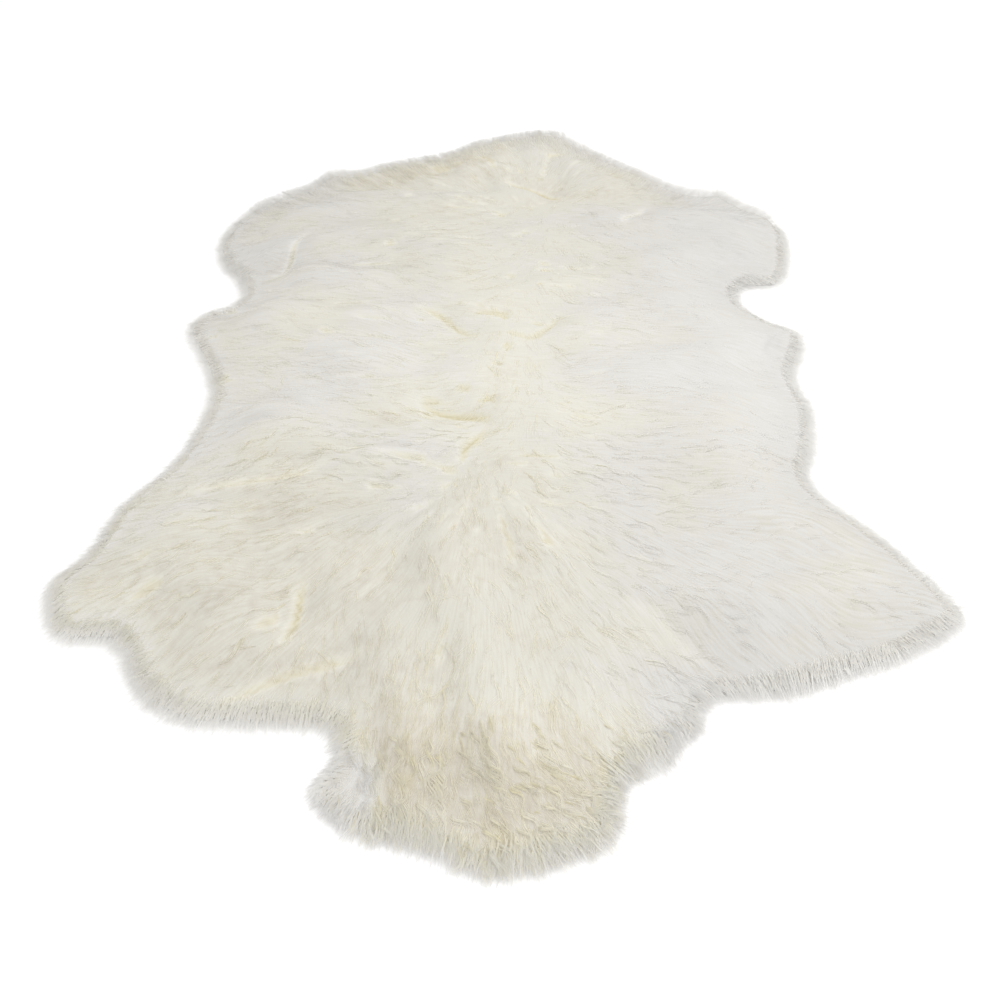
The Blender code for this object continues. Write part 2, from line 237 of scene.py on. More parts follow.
# The hair tips round the rim: the step is between them, the reach is about how far they stick out, the
# spread is how unevenly, and the turn is how far they turn aside, in radians
RIMS = [
    Rim("down", step=0.00060, width=0.00062, reach=0.0030, spread=0.0015, turn=0.20),
    Rim("tips", step=0.0021, width=0.00090, reach=0.0105, spread=0.0035, turn=0.08),
]
RIM_STEPS = 4  # along a hair tip
RIM_ROOTS = (0.008, 0.026)  # within the line where the wool ends
RIM_REACHES = (0.002, 0.016)  # shortest and longest, beyond that line
RIM_WIDTHS = (0.7, 1.3)
RIM_BEND = 0.0016
RIM_RAISED = 0.002  # how much higher the tips lie, at most
RIM_SUNK = 0.0017  # below the part's surface
RIM_LIFT = 0.0006  # above the lowest of the other strands
RIM_UPRIGHT = 0.8  # share of straight up in the tips' shading
RIM_ROUNDED = 0.3
RIM_BRIGHTNESS = 0.56  # their place on the map's v

# How locks and strands differ from one to the next, as shares of their zone's sizes
LENGTHS = (0.75, 1.2)
WIDTHS = (0.75, 1.25)
WAVELENGTHS = (0.8, 1.25)
WAVE_HEIGHTS = (0.6, 1.25)
# And in metres or radians
ROOM_MEAN, ROOM_SPREAD = 0.002, 0.004  # how far past the rim a lock may reach
SHORTEST = 0.010  # of the strands
KIND_SPREAD = 0.07  # how far the kinds of wool mix where they meet
PHASE_SPREAD = 0.22  # of the crimp within a lock
CRIMP_RISE = 0.30  # height of the crimp beside its width
STRAY = 0.0012  # of a strand's tip to the side
LOCK_LEVELS, STRAND_LEVELS = 0.0006, 0.0003  # how much higher or lower a lock or a strand lies
CROWN = 0.0010  # how much lower a lock's flanks lie than its middle
SET_IN = 0.002  # how far the strands lie below the part's surface
FURROW_DEPTH = 0.005  # of a parting in the strands
FLOOR_ROUGHNESS = 0.0012  # how unevenly strands lie on the floor
ROOT_MARGIN = 0.013  # no lock grows nearer to the line where the wool ends

KEPT_HEADING, TAKEN_LAY = 0.55, 0.45  # of a strand's heading, from one step to the next
SHORTER, STRAIGHTER = 0.6, 0.8  # how much shorter and straighter the wool is on the flaps beside the tail
CALMING = 0.35  # how much straighter it is where it lies smoothly
BESIDE_SPINE = 0.3  # how smoothly the wool lies left of the spine, beside the right side's 1
LOBE_SMOOTHNESS = 0.45  # and on the tail lobe
THINNING = 0.65  # share of the loose locks that is left out where the wool lies smoothly

STANDING = 0.022  # how much higher the wool stands along the neck's rim
STANDING_SLOPE = 1.2  # how soon it stands up on the side that faces away
BANDS = ("wool_neck", "wool_shoulders", "wool_back", "wool_rump", "wool_tail")

# Places on the map's u, from grey (painted shade, on the hair tips) over white and cream to beige
SHADED_TIP_TONE = 0.14  # of the hair tips round the rim, grey with painted shade
PALEST_TONE = 0.17  # of the other strands
WHITE_TONE = 0.24  # at the rim
FLAP_TONE = 0.27
WARMEST_TONE = 0.70  # before the tail lobe
LOBE_TONE = 0.87
TONE_SPREAD = 0.035  # from strand to strand
EDGE_TONES = 0.004  # how much a ribbon's two edges differ from its middle
BRIGHT_PLACE = 0.6  # the map's v of the tips where the least shade is painted

# The wool's colours along the map's u, and what they are multiplied by along its v: yellower roots, white,
# and past that painted shade that darkens the tips
TONES = [
    # painted shade: grey for the thin hair tips round the rim
    (0.0, (0.60, 0.585, 0.58)),
    (0.10, (0.84, 0.83, 0.825)),
    (0.24, (0.935, 0.93, 0.92)),
    (0.45, (0.92, 0.912, 0.88)),
    (0.68, (0.945, 0.925, 0.84)),
    (1.0, (0.725, 0.665, 0.565)),
]
ROOTS_TO_TIPS = [
    (0.0, (0.84, 0.78, 0.58)),
    (0.21, (0.96, 0.935, 0.825)),
    (0.38, (0.99, 0.98, 0.925)),
    (0.60, (1.0, 1.0, 1.0)),
    # painted shade: the tips darken towards this colour where more shade is painted
    (1.0, (0.875, 0.87, 0.865)),
]
STREAKS = [(0.30, (0.92, 0.907, 0.87)), (0.62, (1.0, 1.0, 1.0))]
SUEDE = [(0.3, (0.62, 0.52, 0.38)), (0.7, (0.76, 0.68, 0.54))]
TRANSLUCENCE = 0.60  # share of the light that goes through a strand

FLOOR_RADIUS = 9.0
FLOOR_CORNERS = 64
FLOOR_GREY = 0.95
SURROUND_STRENGTH = 1.04
SOFTBOX_PLACE = (0.9, -0.1, 1.45)
SOFTBOX_SIZE = (1.6, 1.3)
SOFTBOX_WATTS = 10.0

CAMERA_PLACE = (0.0, -0.8654, 0.600)  # in the landmarks' plan
CAMERA_PITCH_DEG = 43.7645  # below the horizon
CAMERA_LENS, CAMERA_SENSOR = 32.4, 36.0  # mm
CAMERA_RANGE = (0.02, 50.0)


def smoothstep(t):
    t = np.clip(t, 0.0, 1.0)
    return t * t * (3 - 2 * t)


def rising(value, start, over):
    """0 up to the start, 1 from start + over on."""
    return smoothstep((value - start) / over)


def falling(value, start, over):
    """0 down to the start, 1 from start - over down."""
    return smoothstep((start - value) / over)


def hump(value, middle, reach):
    """1 at the middle, less to either side of it."""
    return np.exp(-(((value - middle) / reach) ** 2))


def unit(v):
    return v / np.maximum(np.linalg.norm(v, axis=-1, keepdims=True), 1e-9)


def turned(v, angle):
    c, s = np.cos(angle), np.sin(angle)
    return np.stack([v[..., 0] * c - v[..., 1] * s, v[..., 0] * s + v[..., 1] * c], -1)


def across(v):
    """The plan direction to the left of v."""
    return np.stack([-v[..., 1], v[..., 0]], -1)


class Noise:
    """Smooth value noise from -1 to 1 on a repeating lattice."""

    def __init__(self, seed, size=128):
        self.size = size
        self.lattice = np.random.default_rng(seed).uniform(-1, 1, (size, size))

    def __call__(self, x, y):
        low_x, low_y = np.floor(x).astype(int), np.floor(y).astype(int)
        fx, fy = smoothstep(x - low_x), smoothstep(y - low_y)
        x0, y0 = low_x % self.size, low_y % self.size
        x1, y1 = (x0 + 1) % self.size, (y0 + 1) % self.size
        n = self.lattice
        return (n[y0, x0] * (1 - fx) + n[y0, x1] * fx) * (1 - fy) + (
            n[y1, x0] * (1 - fx) + n[y1, x1] * fx
        ) * fy


def layered(layers, along, aside):
    """The sum of noise layers over two coordinates."""
    return sum(n.strength * Noise(n.seed)(along / n.length, aside / n.width) for n in layers)


class Grid:
    """Values on the plan, read smoothly between the cells."""

    def __init__(self, values):
        self.values = values

    @staticmethod
    def places():
        x = np.arange(-GRID_REACH[0], GRID_REACH[0] + CELL, CELL)
        y = np.arange(-GRID_REACH[1], GRID_REACH[1] + CELL, CELL)
        return np.stack(np.meshgrid(x, y), -1)

    def at(self, xy):
        rows, columns = self.values.shape[:2]
        x = np.clip((xy[..., 0] + GRID_REACH[0]) / CELL, 0, columns - 1.001)
        y = np.clip((xy[..., 1] + GRID_REACH[1]) / CELL, 0, rows - 1.001)
        low_x, low_y = x.astype(int), y.astype(int)
        fx, fy = x - low_x, y - low_y
        if self.values.ndim == 3:
            fx, fy = fx[..., None], fy[..., None]
        v = self.values
        return (v[low_y, low_x] * (1 - fx) + v[low_y, low_x + 1] * fx) * (1 - fy) + (
            v[low_y + 1, low_x] * (1 - fx) + v[low_y + 1, low_x + 1] * fx
        ) * fy

    def blurred(self, passes):
        v = self.values
        for _ in range(passes):
            v = (v + np.roll(v, 1, 0) + np.roll(v, -1, 0)) / 3
            v = (v + np.roll(v, 1, 1) + np.roll(v, -1, 1)) / 3
        return Grid(v)


def through(points, steps=12):
    """A closed Catmull-Rom curve through the points, as a fine polyline."""
    before, after, beyond = (np.roll(points, k, 0) for k in (1, -1, -2))
    t = (np.arange(steps) / steps)[None, :, None]
    p0, p1, p2, p3 = (p[:, None] for p in (before, points, after, beyond))
    line = 0.5 * (
        2 * p1 + (p2 - p0) * t + (2 * p0 - 5 * p1 + 4 * p2 - p3) * t**2 + (3 * (p1 - p2) + p3 - p0) * t**3
    )
    return line.reshape(-1, 2)


def evenly(line, step):
    """Points a step apart along a closed polyline."""
    closed = np.vstack([line, line[:1]])
    walked = np.concatenate([[0], np.cumsum(np.linalg.norm(np.diff(closed, axis=0), axis=1))])
    wanted = np.linspace(0, walked[-1], int(walked[-1] / step), endpoint=False)
    return np.stack([np.interp(wanted, walked, closed[:, k]) for k in (0, 1)], 1)


def outwards(line):
    """Unit vectors that point away from the hide along a counterclockwise rim."""
    along = np.roll(line, -1, 0) - np.roll(line, 1, 0)
    return unit(np.stack([along[:, 1], -along[:, 0]], 1))


def inside(places, line):
    """Whether each place of a grid lies within a closed polyline."""
    ends = np.roll(line, -1, 0)
    result = np.zeros(places.shape[:2], bool)
    for row, y in enumerate(places[:, 0, 1]):
        crosses = (line[:, 1] > y) != (ends[:, 1] > y)
        a, b = line[crosses], ends[crosses]
        at = np.sort(a[:, 0] + (y - a[:, 1]) / (b[:, 1] - a[:, 1]) * (b[:, 0] - a[:, 0]))
        result[row] = np.searchsorted(at, places[row, :, 0]) % 2 == 1
    return result


def distance_in(places, line):
    """Distance to a closed polyline, positive within it."""
    fine = evenly(line, EDGE_STEP)
    tree = kdtree.KDTree(len(fine))
    for k, (x, y) in enumerate(fine):
        tree.insert((x, y, 0.0), k)
    tree.balance()
    flat = places.reshape(-1, 2)
    far = np.array([tree.find((x, y, 0.0))[2] for x, y in flat]).reshape(places.shape[:2])
    return Grid(np.where(inside(places, line), far, -far))


def height_of_part(places, node):
    """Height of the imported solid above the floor."""
    mesh = node.data
    tree = BVHTree.FromPolygons([v.co for v in mesh.vertices], [p.vertices for p in mesh.polygons])
    down = Vector((0, 0, -1))
    heights = []
    for x, y in places.reshape(-1, 2):
        hit = tree.ray_cast(Vector((x, y, ABOVE)), down)[0]
        heights.append(0.0 if hit is None else hit.z)
    return np.array(heights).reshape(places.shape[:2])


def from_spine(xy):
    """Unit vector away from the spine, distance from it and a coordinate round it, in metres."""
    start, end = SPINE + PLAN_SHIFT
    axis = end - start
    length = np.linalg.norm(axis)
    axis = axis / length
    along = (xy - start) @ axis
    nearest = start + np.clip(along, 0, length)[..., None] * axis
    away = xy - nearest
    distance = np.linalg.norm(away, axis=-1)
    sideways = away @ np.array([-axis[1], axis[0]])
    beyond = np.where(along > length, along - length, np.minimum(along, 0))
    turn = np.arctan2(beyond, np.abs(sideways) + 1e-6)
    side = np.where(sideways > 0, 1.0, -1.0)
    return unit(away), distance, side * (np.clip(along, 0, length) + FAN_RADIUS * turn + SIDE_START)


def near_partings(xy):
    """Strength of the nearest parting's furrow and the unit vector that points out of it."""
    strength, out = np.zeros(xy.shape[:-1]), np.zeros(xy.shape)
    for parting in PARTINGS:
        heading = math.radians(parting.heading_deg)
        along = np.array([math.cos(heading), math.sin(heading)])
        offset = xy - (np.array([parting.x, parting.y]) + PLAN_SHIFT)
        run = offset @ along / (parting.length / 2)
        sway = PARTING_SWAY * np.sin(PARTING_BENDS * run + parting.heading_deg)
        side = offset @ across(along) + sway
        here = np.exp(-((side / PARTING_HALF_WIDTH) ** 2) - run**4) * parting.depth / DEEPEST_PARTING
        out += here[..., None] * np.sign(side)[..., None] * across(along)
        strength = np.maximum(strength, here)
    return strength, out


def combed(xy):
    """How smoothly the wool lies: 1 on the right side, less left of the spine."""
    return BESIDE_SPINE + 0.7 * rising(xy[..., 0], start=0.08, over=0.15)


def shortness(xy):
    """1 on the short-haired flaps beside the tail, 0 away from them."""
    nearest = np.minimum(*(np.linalg.norm(xy - flap - PLAN_SHIFT, axis=-1) for flap in FLAPS))
    return 1 - rising(nearest, start=FLAP_REACH / 2, over=FLAP_REACH / 2)


class Coat:
    """The height, lay and kind of the wool all over the hide."""

    def __init__(self, node):
        places = Grid.places()
        self.edge = through(np.array([(m.x, m.y) for m in OUTLINE]) + PLAN_SHIFT)
        self.hide_edge = self.edge - outwards(self.edge) * RIM_INSET
        self.depth_in = distance_in(places, self.edge)  # from where the wool ends
        past_hide = -(self.depth_in.values - RIM_INSET)
        coming_down = RIM_HEIGHT * np.clip(1 - past_hide / SPREAD, 0, 1) ** OVERHANG
        solid = np.where(past_hide < 0, height_of_part(places, node), coming_down)
        self.height = Grid(solid).blurred(passes=12)
        away, distance, round_it = from_spine(places)
        self.lay = Grid(self.laid(places, away, distance, round_it))
        furrows, _ = near_partings(places)
        self.parted = Grid(np.maximum(furrows, CLEFT_DEPTH * self.clefts(places, distance, round_it)))
        self.short = Grid(shortness(places))
        flatter = 0.65 * rising(places[..., 0], start=-0.10, over=0.20)  # the right side is combed flatter
        self.ridges = Grid(layered(RIDGES, distance, round_it) / FULL_RIDGES * (1 - flatter))
        spread_x = np.gradient(self.lay.values[..., 0], CELL, axis=1)
        spread_y = np.gradient(self.lay.values[..., 1], CELL, axis=0)
        self.fanning = Grid(spread_x + spread_y).blurred(passes=3)  # how fast the lay spreads, per metre
        rise_y, rise_x = np.gradient(self.height.values + RIDGE_HEIGHT * self.ridges.values, CELL)
        uneven = unit(np.stack([-rise_x, -rise_y, np.ones_like(rise_x)], -1))
        self.normal = Grid(uneven).blurred(passes=1)
        near_rim = hump(self.depth_in.values, middle=0.01, reach=0.045)
        far_side = smoothstep(-STANDING_SLOPE * np.gradient(self.depth_in.values, CELL, axis=0))
        standing = STANDING * near_rim * rising(places[..., 1], start=0.12, over=0.30) * far_side
        self.standing = Grid(standing).blurred(passes=4)

    @staticmethod
    def clefts(places, distance, round_it):
        """Small clefts between the locks, more of them down the middle and near the left thigh."""
        x, y = places[..., 0], places[..., 1]
        left_thigh = np.exp(-(((x + 0.22) / 0.12) ** 2) - ((y + 0.33) / 0.14) ** 2)
        likelier = hump(x, middle=0.0, reach=0.15) + 0.5 * left_thigh
        depth = rising(layered(CLEFTS, distance, round_it) + 0.16 * likelier, CLEFT_START, CLEFT_OVER)
        return depth * (1 - rising(x, start=0.06, over=0.12))

    @staticmethod
    def laid(places, away, distance, round_it):
        """Unit vectors along the lay: away from the spine, with swirls, drawn apart at partings."""
        near_spine = hump(distance, middle=0.0, reach=SPINE_WIDTH)
        lay = unit((1 - near_spine)[..., None] * away + near_spine[..., None] * TAILWARDS)
        swirl = layered(SWIRLS, places[..., 0], places[..., 1])
        _, out = near_partings(places)
        return unit(turned(lay, swirl * (1 + near_spine)) + 0.3 * out)

    def curl(self, xy):
        """0 on the combed back, 0.5 on the wavy rump, 1 on the crimped tail lobe."""
        y = xy[..., 1] - PLAN_SHIFT[1]
        rump = falling(y, start=-0.08, over=0.14)
        tail = falling(y, start=-0.44, over=0.08) * falling(np.abs(xy[..., 0]), start=0.17, over=0.05)
        return 0.5 * rump + 0.5 * tail


def lattice(step, rng):
    """Places a step apart all over the plan, each moved a little."""
    x, y = np.meshgrid(
        np.arange(-GRID_REACH[0], GRID_REACH[0], step),
        np.arange(-GRID_REACH[1], GRID_REACH[1], step),
    )
    places = np.stack([x, y], -1).reshape(-1, 2)
    return places + rng.uniform(-0.5, 0.5, places.shape) * step


def locks_of(zone, coat, rng):
    """Roots of a zone's locks: a lattice with jitter, kept where the zone's kind of wool grows."""
    roots = lattice(zone.spacing, rng)
    kind = coat.curl(roots) + rng.normal(0, KIND_SPREAD, len(roots))
    keep = (np.round(2 * np.clip(kind, 0, 1)) == 2 * zone.curl) & (coat.depth_in.at(roots) > ROOT_MARGIN)
    loose = zone.name in ("waves", "wisps")
    keep &= rng.uniform(0, 1, len(roots)) > loose * THINNING * combed(roots)
    return roots[keep]


def cover_locks(coat, rng):
    """Roots of the short locks, more of them where the lay fans out or the wool parts."""
    roots = lattice(COVER.spacing, rng)
    bared = coat.fanning.at(roots) + COVER_AT_PARTINGS * coat.parted.at(roots)
    wanted = rising(bared, start=5, over=14)
    keep = (rng.uniform(0, 1, len(roots)) < wanted) & (coat.depth_in.at(roots) > ROOT_MARGIN)
    return roots[keep]


def grow(zone, roots, coat, rng):
    """The strands of a zone's locks, ring by ring from root to tip."""
    count = len(roots)
    short = coat.short.at(roots)
    length = zone.length * rng.uniform(*LENGTHS, count) * (1 - SHORTER * short)
    room = coat.depth_in.at(roots) + rng.normal(ROOM_MEAN, ROOM_SPREAD, count)
    length = np.minimum(length, np.maximum(room, SHORTEST))
    turn = rng.normal(0, zone.turn, count)
    at, line, headings = roots.copy(), [roots.copy()], []
    heading = turned(coat.lay.at(at), turn)
    for _ in range(zone.steps):
        heading = unit(KEPT_HEADING * heading + TAKEN_LAY * turned(unit(coat.lay.at(at)), turn))
        at = at + heading * (length / zone.steps)[:, None]
        line.append(at)
        headings.append(heading)
    headings.append(heading)
    line, headings = np.stack(line, 1), np.stack(headings, 1)

    lock = np.repeat(np.arange(count), zone.strands)
    strands = len(lock)
    t = np.linspace(0, 1, zone.steps + 1)[None]  # along a strand
    off = np.sqrt(rng.uniform(0, 1, strands))
    angle = rng.uniform(0, 2 * math.pi, strands)
    side_off, along_off = off * np.cos(angle), off * np.sin(angle)
    draw = 1 - zone.clump * t**1.2
    smooth = np.maximum(combed(roots), LOBE_SMOOTHNESS * (zone.curl == 1))[lock]
    calm = (1 - STRAIGHTER * short[lock]) * (1 - CALMING * smooth)
    walked = t * length[lock][:, None]
    phase = rng.uniform(0, 2 * math.pi, count)[lock] + rng.normal(0, PHASE_SPREAD, strands)
    pitch = zone.wavelength * rng.uniform(*WAVELENGTHS, count)[lock]
    wave = 2 * math.pi * walked / pitch[:, None] + phase[:, None]
    height = (zone.wave * rng.uniform(*WAVE_HEIGHTS, count)[lock] * calm)[:, None] * smoothstep(t * 2.2)
    stray = rng.normal(0, STRAY, strands)[:, None] * t
    sideways = zone.radius * side_off[:, None] * draw + height * np.sin(wave) + stray
    forwards = zone.radius * along_off[:, None]
    aside = across(headings[lock])
    xy = line[lock] + aside * sideways[..., None] + headings[lock] * forwards[..., None]

    level = rng.normal(0, LOCK_LEVELS, count)[lock] + rng.normal(0, STRAND_LEVELS, strands)
    level = level * (1 - 0.5 * smooth) - CROWN * side_off**2
    sunk = (zone.sunk * (1 - 0.5 * short[lock]))[:, None] * (1 - t) ** 2.6
    ridge = RIDGE_HEIGHT * coat.ridges.at(xy) * calm[:, None]
    furrow = FURROW_DEPTH * coat.parted.at(xy)
    z = coat.height.at(xy) - SET_IN - sunk + level[:, None] + ridge - furrow
    z = z + CRIMP_RISE * height * np.cos(wave) + zone.lift * t**2 + coat.standing.at(xy) * t
    z = np.maximum(z, FLOOR_CLEARANCE + FLOOR_ROUGHNESS * rng.uniform(0, 1, strands)[:, None])
    points = np.concatenate([xy, z[..., None]], -1)
    width = zone.width * rng.uniform(*WIDTHS, strands)[:, None] * (1 - 0.8 * t**2.2) * np.ones_like(z)
    flank = np.concatenate([aside * side_off[:, None, None], np.zeros((*z.shape, 1))], -1)
    normals = unit(coat.normal.at(xy) + ROUNDNESS * flank)
    tone = np.maximum(tones(xy, coat, rng) - zone.pale, PALEST_TONE)
    return Strands(points, width, tone, down_the_map(t, xy, coat), normals, np.full(strands, zone.rounded))


def fringe(rim, coat, rng):
    """Hair tips of one kind that stand out round the rim."""
    edge = evenly(coat.edge, rim.step)
    count = len(edge)
    tailwards = falling(edge[:, 1], start=-0.25, over=0.20)
    swept = layered(RIM_SWEEPS, edge[:, 0], edge[:, 1]) + rng.normal(0, rim.turn, count)
    heading = turned(unit(outwards(edge) + 0.7 * unit(coat.lay.at(edge))), swept)
    start = edge - heading * rng.uniform(*RIM_ROOTS, count)[:, None]
    tufts = layered(RIM_TUFTS, edge[:, 0], edge[:, 1])
    beyond = rim.reach * (1 + 0.4 * tufts) + rng.exponential(rim.spread, count)
    beyond = np.clip(beyond, *RIM_REACHES) * (1 - 0.55 * coat.short.at(edge)) * (1 - 0.3 * tailwards)
    from_wisps = np.linalg.norm(edge - WISPS - PLAN_SHIFT, axis=1)
    beyond = beyond + WISP_LENGTH * hump(from_wisps, middle=0.0, reach=WISP_REACH)

    t = np.linspace(0, 1, RIM_STEPS + 1)[None]  # along a hair tip
    length = np.linalg.norm(edge - start, axis=1) + beyond
    bend = rng.normal(0, RIM_BEND, count)
    xy = start[:, None] + heading[:, None] * (length[:, None] * t)[..., None]
    xy = xy + across(heading)[:, None] * (bend[:, None] * t**2)[..., None]
    raised = rng.uniform(0.0, RIM_RAISED, count)[:, None] * t
    z = (coat.height.at(xy) - RIM_SUNK) * (1 - 0.75 * smoothstep(1.6 * t - 0.6))
    z = np.maximum(z, FLOOR_CLEARANCE + RIM_LIFT) + raised
    z = z + coat.standing.at(edge)[:, None] * (0.3 + 0.7 * t)
    points = np.concatenate([xy, z[..., None]], -1)
    width = rim.width * ((1 + 0.3 * tailwards) * rng.uniform(*RIM_WIDTHS, count))[:, None]
    width = width * (1 - 0.8 * t**1.6) * np.ones_like(z)
    normals = unit(coat.normal.at(xy) + np.array([0.0, 0.0, RIM_UPRIGHT]))
    tone = tones(xy, coat, rng)
    late = 0.35 * (1 - smoothstep(2 * coat.curl(edge) - 1))[:, None]  # off the lobe the painted grey shade reaches the tips later
    tone = tone + ((SHADED_TIP_TONE - 0.02 * tailwards)[:, None] - tone) * smoothstep(1.35 * t - late)
    bright = np.full(z.shape, RIM_BRIGHTNESS)
    return Strands(points, width, tone, bright, normals, np.full(count, RIM_ROUNDED))


def tones(xy, coat, rng):
    """Place on the wool's ramp: grey tips of painted shade, white, cream and beige, by place and a little by
    strand.
    """
    x, y = xy[..., 0] - PLAN_SHIFT[0], xy[..., 1] - PLAN_SHIFT[1]
    middle = np.exp(-(((x - 0.01) / 0.19) ** 2) - ((y - 0.04) / 0.46) ** 4)
    left = falling(x, start=-0.02, over=0.22)
    near = falling(y, start=-0.10, over=0.30) * (0.20 - 0.10 * rising(x, start=0.0, over=0.2))
    neck = rising(y, start=0.15, over=0.25) * falling(np.abs(x - 0.02), start=0.30, over=0.15)
    patch = layered(PATCHES, x, y)
    warm = 0.30 + 0.30 * middle + 0.16 * left + near + 0.20 * neck
    tone = np.minimum(warm + patch, WARMEST_TONE)
    lobe = falling(y, start=-0.43, over=0.12) * falling(np.abs(x), start=0.20, over=0.06)
    tone = tone + (LOBE_TONE + 0.3 * patch - tone) * lobe
    off_rim = rising(coat.depth_in.at(xy), start=0.0, over=0.040)
    off_rim = off_rim + 0.6 * lobe * (1 - off_rim)
    tone = WHITE_TONE + (tone - WHITE_TONE) * (0.25 + 0.75 * off_rim) + 0.05 * coat.parted.at(xy)
    tone = tone + 0.8 * coat.short.at(xy) * (FLAP_TONE - tone)
    return np.clip(tone + rng.normal(0, TONE_SPREAD, len(xy))[:, None], 0.02, 0.98)


def painted_shading(xy, coat):
    """Painted shade and light: 0 where the wool is painted brightest, over the middle of the back, towards 1
    at the neck and the rump.
    """
    x, y = xy[..., 0] - PLAN_SHIFT[0], xy[..., 1] - PLAN_SHIFT[1]
    depth_in = coat.depth_in.at(xy)
    # Painted shade: darker towards the far neck, the near rump and both sides.
    neck = 0.50 * rising(y, start=-0.05, over=0.35)
    rump = falling(y, start=-0.12, over=0.16) * (1 - falling(y, start=-0.43, over=0.10))
    left = 0.20 * falling(x, start=0.0, over=0.30)
    right = (0.35 - 0.20 * rump) * rising(x, start=0.0, over=0.22)
    # Painted light: lighter along the left hind leg and in a band just inside the rim, against the shadow
    # there.
    painted_light_leg = 0.48 * rump * falling(x, start=-0.18, over=0.12)
    painted_light_inside_rim = (0.25 + 0.3 * rump) * hump(depth_in, middle=0.016, reach=0.010)
    bright = painted_light_leg + painted_light_inside_rim * falling(x, start=-0.10, over=0.15)
    # Painted shade in the hollows between the ridges on the left, and near the rim where the wool slopes
    # down.
    shaded_hollows = 0.60 * np.clip(-coat.ridges.at(xy), 0, 1) * falling(x, start=0.05, over=0.20)
    rim = 0.28 * (1 - rising(depth_in, start=0.010, over=0.055))
    return np.clip(0.15 + neck + 0.45 * rump + (left + right) - bright + shaded_hollows + rim, 0, 1)


def down_the_map(along, xy, coat):
    """The map's v: 0 at a strand's root, and at its tip the higher, the more shade is painted there."""
    return along * (BRIGHT_PLACE + 0.4 * painted_shading(xy, coat))


def ribbons(points, width, tone, along, normals, rounded, rng):
    """Tapering ribbons along the points: vertices, corners' vertices, face sizes, map places and normals."""
    count, rings = points.shape[:2]
    tangent = unit(np.gradient(points, axis=1))
    up = np.array([0.0, 0.0, 1.0])
    side = unit(np.cross(tangent, up))
    rise = np.cross(side, tangent)
    roll = np.clip(rng.normal(0, ROLL, count), -1, 1)[:, None, None]
    half = (side * np.cos(roll) + rise * np.sin(roll)) * width[..., None] / 2
    left, right = points - half, points + half
    body = np.stack([left[:, :-1], right[:, :-1]], 2).reshape(count, -1, 3)
    verts = np.concatenate([body, points[:, -1:]], 1)  # 2 a ring, and the tip
    faced = rise * np.cos(roll) - side * np.sin(roll)
    soft = unit((1 - FACING) * normals + FACING * faced)
    bow = rounded[:, None, None] * unit(half)
    bowed = np.stack([soft - bow, soft + bow], 2)[:, :-1].reshape(count, -1, 3)
    soft = unit(np.concatenate([bowed, soft[:, -1:]], 1))
    u = np.stack([tone[:, :-1] - EDGE_TONES, tone[:, :-1] + EDGE_TONES], 2).reshape(count, -1)
    v = np.stack([along[:, :-1]] * 2, 2).reshape(count, -1)
    uv = np.stack([np.concatenate([u, tone[:, -1:]], 1), np.concatenate([v, along[:, -1:]], 1)], -1)
    ring = 2 * np.arange(rings - 2)
    quads = np.stack([ring, ring + 1, ring + 3, ring + 2], 1).ravel()
    last = 2 * (rings - 2)
    pattern = np.concatenate([quads, [last, last + 1, last + 2]])
    per_strand = 2 * (rings - 1) + 1
    corners = pattern[None] + (np.arange(count) * per_strand)[:, None]
    sizes = np.tile(np.array([4] * (rings - 2) + [3]), count)
    return verts.reshape(-1, 3), corners.ravel(), sizes, uv.reshape(-1, 2), soft.reshape(-1, 3)


def in_scene(name, mesh, material):
    """A new object of the mesh."""
    mesh.materials.append(material)
    made = bpy.data.objects.new(name, mesh)
    bpy.context.scene.collection.objects.link(made)
    return made


def mesh_object(name, verts, corners, sizes, uv, normals, material):
    mesh = bpy.data.meshes.new(name)
    mesh.vertices.add(len(verts))
    mesh.vertices.foreach_set("co", verts.astype(np.float32).ravel())
    mesh.loops.add(len(corners))
    mesh.loops.foreach_set("vertex_index", corners.astype(np.int32))
    mesh.polygons.add(len(sizes))
    starts = np.concatenate([[0], np.cumsum(sizes)[:-1]])
    mesh.polygons.foreach_set("loop_start", starts.astype(np.int32))
    mesh.update(calc_edges=True)
    layer = mesh.uv_layers.new(name="OFBake")
    layer.uv.foreach_set("vector", uv[corners].astype(np.float32).ravel())
    mesh.shade_smooth()
    mesh.normals_split_custom_set_from_vertices(normals.astype(np.float32))
    return in_scene(name, mesh, material)


def wool_pieces(coat, material, rng):
    """All strands and the fringe, shared out by place into a few pieces from the neck to the tail."""
    grown = [grow(zone, locks_of(zone, coat, rng), coat, rng) for zone in ZONES]
    grown.append(grow(COVER, cover_locks(coat, rng), coat, rng))
    grown += [fringe(rim, coat, rng) for rim in RIMS]
    triangles = np.concatenate([np.full(len(g.points), 2 * g.points.shape[1] - 3) for g in grown])
    place = np.concatenate([g.points[:, 0, 1] for g in grown])
    order = np.argsort(-place)
    share = np.cumsum(triangles[order]) / triangles.sum()
    ends = [np.searchsorted(share, (k + 1) / len(BANDS)) for k in range(len(BANDS) - 1)]
    limits = np.array([place[order[end]] for end in ends])
    parts = [[] for _ in BANDS]
    for strands in grown:
        band = np.searchsorted(-limits, -strands.points[:, 0, 1])
        for k, part in enumerate(parts):
            pick = band == k
            if pick.any():
                part.append(ribbons(*(values[pick] for values in strands), rng))
    made = []
    for name, groups in zip(BANDS, parts):
        shift, columns = 0, [[] for _ in range(5)]
        for verts, corners, *others in groups:
            for column, values in zip(columns, (verts, corners + shift, *others)):
                column.append(values)
            shift += len(verts)
        joined = [np.concatenate(column) for column in columns]
        made.append(mesh_object(name, *joined, material))
    return made


